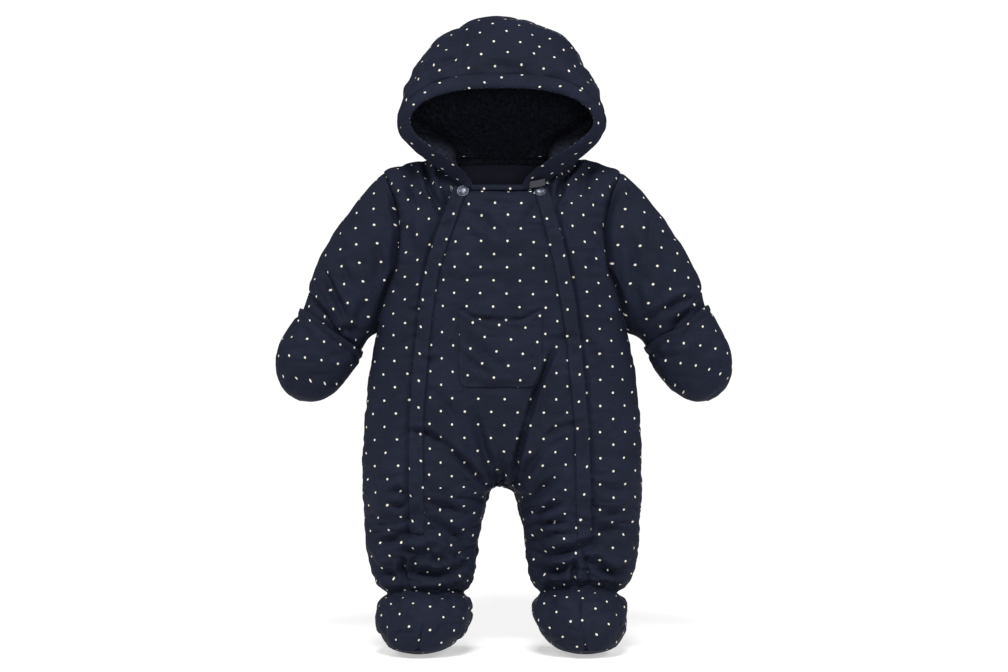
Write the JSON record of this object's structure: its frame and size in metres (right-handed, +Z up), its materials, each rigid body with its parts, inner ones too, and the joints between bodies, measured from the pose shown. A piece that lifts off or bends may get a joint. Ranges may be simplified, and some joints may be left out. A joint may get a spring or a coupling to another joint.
{
  "type": "baby snowsuit",
  "caption": "Padded hooded all-in-one for a baby, with two full-length front zips under flaps, a chest pocket, fold-over mitts and sewn-in booties, filled out as when it is worn.",
  "frame": {"origin": "between the shoulders at the wearer's shoulder line, on the suit's centre plane", "axes": "+Z up towards the hood; -Y towards the front, so +Y is the back; +X to the viewer's right as seen from the front"},
  "size_m": [0.504, 0.1729, 0.7011],
  "materials": {
    "navy_cloth": "matt fine woven cotton over wadding, with small white pin dots on a diagonal lattice",
    "pile_lining": "dark navy teddy pile",
    "neck_facing": "smooth dark navy woven lining",
    "popper": "dark gunmetal, domed",
    "zip_metal": "bright zip metal"
  },
  "bodies": {
    "root": {"front_centre": "navy_cloth", "front_left": "navy_cloth", "front_right": "navy_cloth", "back": "navy_cloth", "zip_flap_left": "navy_cloth", "zip_flap_right": "navy_cloth", "neck_binding": "navy_cloth", "pocket": "navy_cloth", "sleeve_left": "navy_cloth", "sleeve_right": "navy_cloth", "mitt_left": "navy_cloth", "mitt_right": "navy_cloth", "boot_left_inner": "navy_cloth", "boot_left_outer": "navy_cloth", "boot_left_sole": "navy_cloth", "boot_right_inner": "navy_cloth", "boot_right_outer": "navy_cloth", "boot_right_sole": "navy_cloth", "hood_centre": "navy_cloth", "hood_left": "navy_cloth", "hood_right": "navy_cloth", "hood_band": "navy_cloth", "lining_centre": "pile_lining", "lining_left": "pile_lining", "lining_right": "pile_lining", "neck_facing": "neck_facing", "popper_left": "popper", "popper_right": "popper", "zip_end_left": "zip_metal", "zip_end_right": "zip_metal"}
  },
  "joints": []
}
